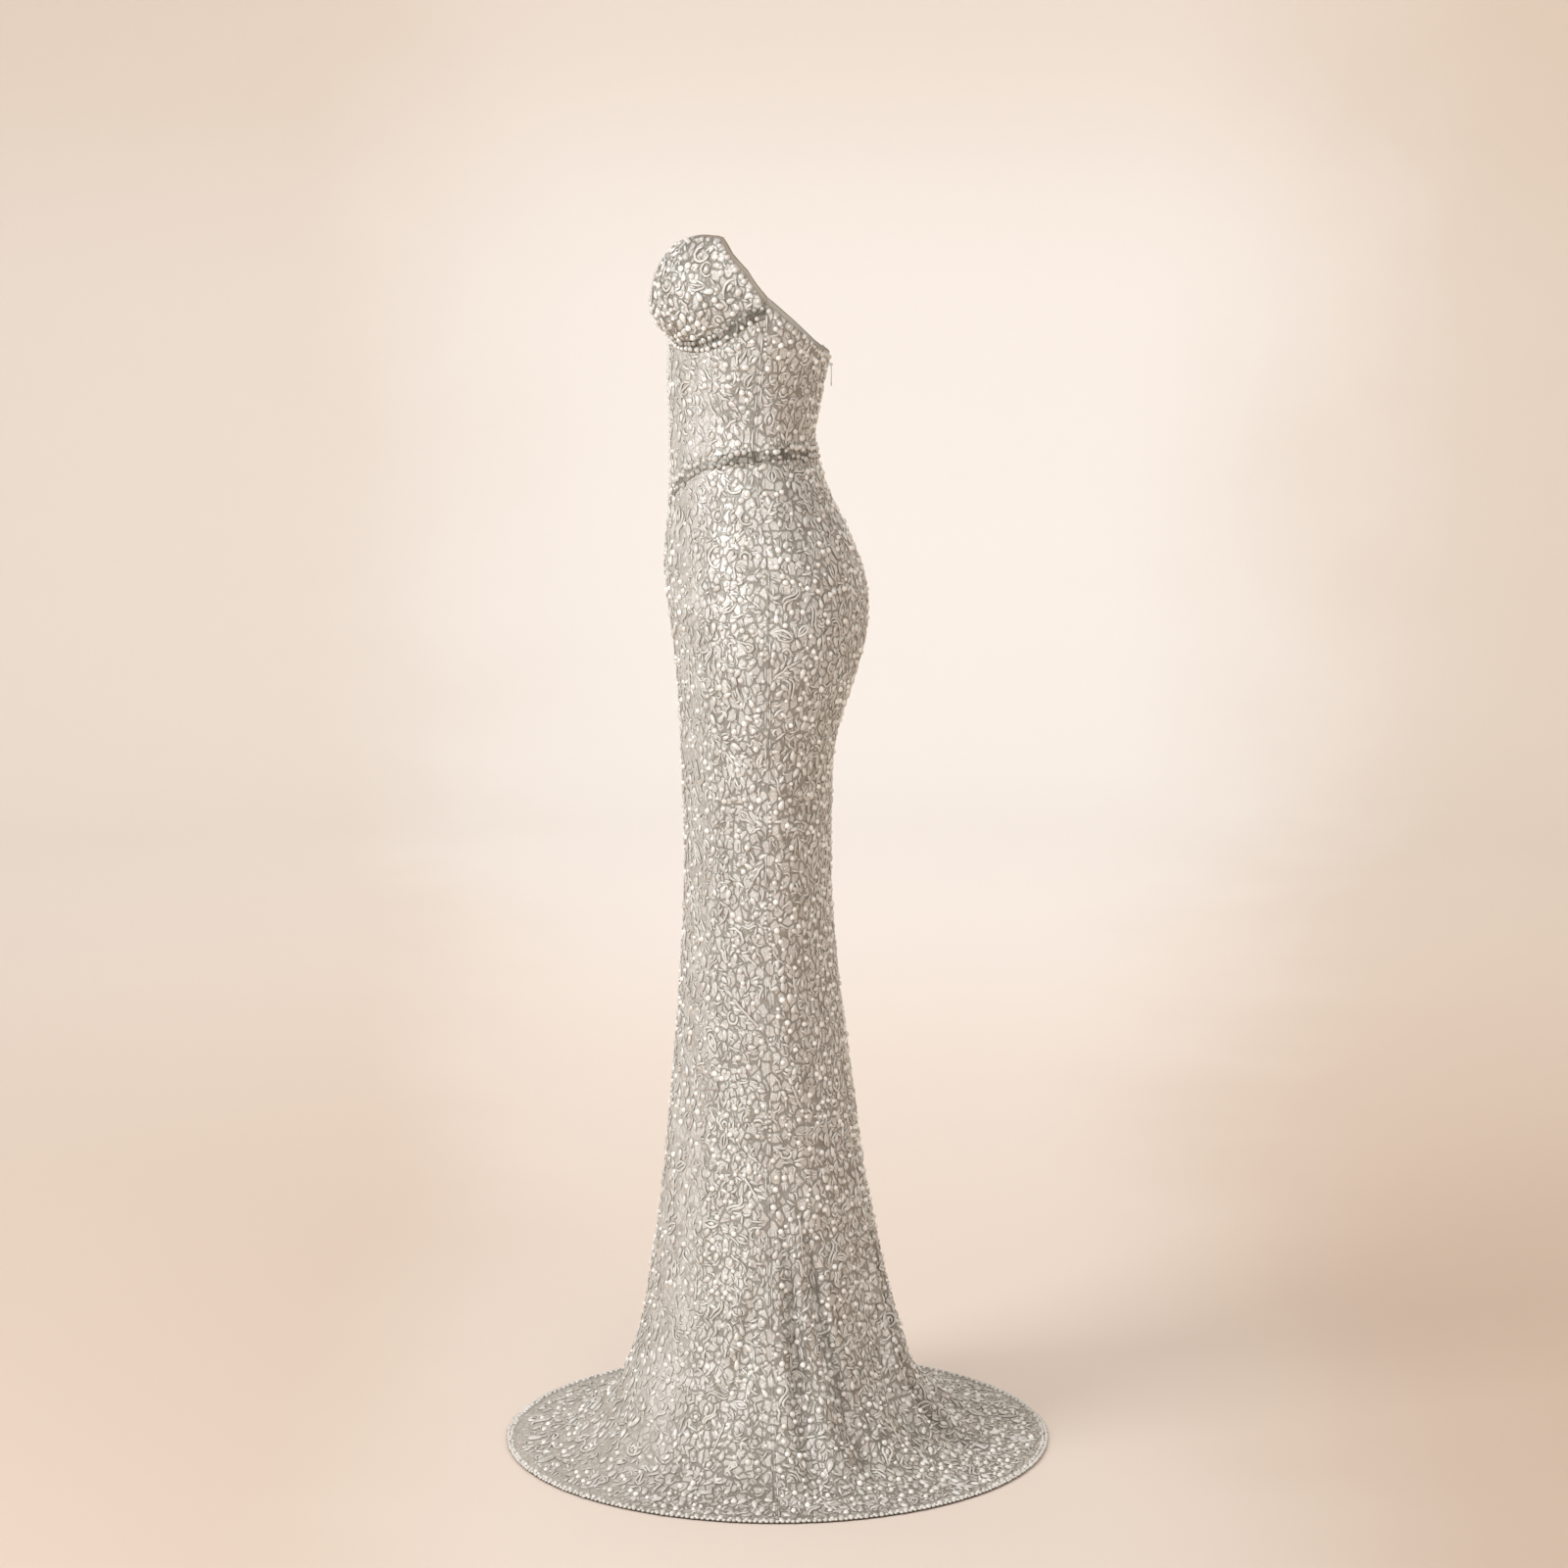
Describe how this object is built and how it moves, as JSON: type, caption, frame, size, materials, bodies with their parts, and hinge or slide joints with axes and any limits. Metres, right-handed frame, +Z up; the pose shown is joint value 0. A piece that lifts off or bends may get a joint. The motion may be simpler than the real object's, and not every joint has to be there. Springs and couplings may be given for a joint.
{
  "type": "evening gown",
  "caption": "Strapless floor-length evening gown in its worn form: sweetheart bodice, pointed waist seam, fitted skirt flaring into a round hem, beaded all over.",
  "frame": {"origin": "centre of the waist, where the wearer's waist holds the gown, 1.17 m above the floor that the hem lies on", "axes": "+Z up along the body, the gown faces -Y, and its left side is +X"},
  "size_m": [0.6342, 0.6342, 1.3929],
  "materials": {
    "beaded_cloth": "silver-grey shell cloth covered in pearls, stones and bead cords",
    "cup_cloth": "silver-grey cup cloth set closely with larger stones",
    "pearls": "silvery pearls on thread",
    "zip_tape": "plain woven grey tape",
    "zip_metal": "satin metal"
  },
  "bodies": {
    "gown": {"cup_left": "cup_cloth", "cup_right": "cup_cloth", "bodice_front_left": "beaded_cloth", "bodice_front_right": "beaded_cloth", "bodice_back_left": "beaded_cloth", "bodice_back_right": "beaded_cloth", "skirt_front": "beaded_cloth", "skirt_back_left": "beaded_cloth", "skirt_back_right": "beaded_cloth", "underbust_pearls_left": "pearls", "underbust_pearls_right": "pearls", "waist_pearls_left": "pearls", "waist_pearls_right": "pearls", "front_bead_strip": "pearls", "hem_pearls": "pearls", "zip_tape": "zip_tape", "zip_slider": "zip_metal"},
    "zip_pull": {"zip_pull": "zip_metal"}
  },
  "joints": [
    {"name": "zip_pull_swing", "type": "hinge", "parent": "gown", "child": "zip_pull", "pos_m": [0, 0.09909, 0.0792], "axis": [1, 0, 0], "range_deg": [0, 150]}
  ]
}
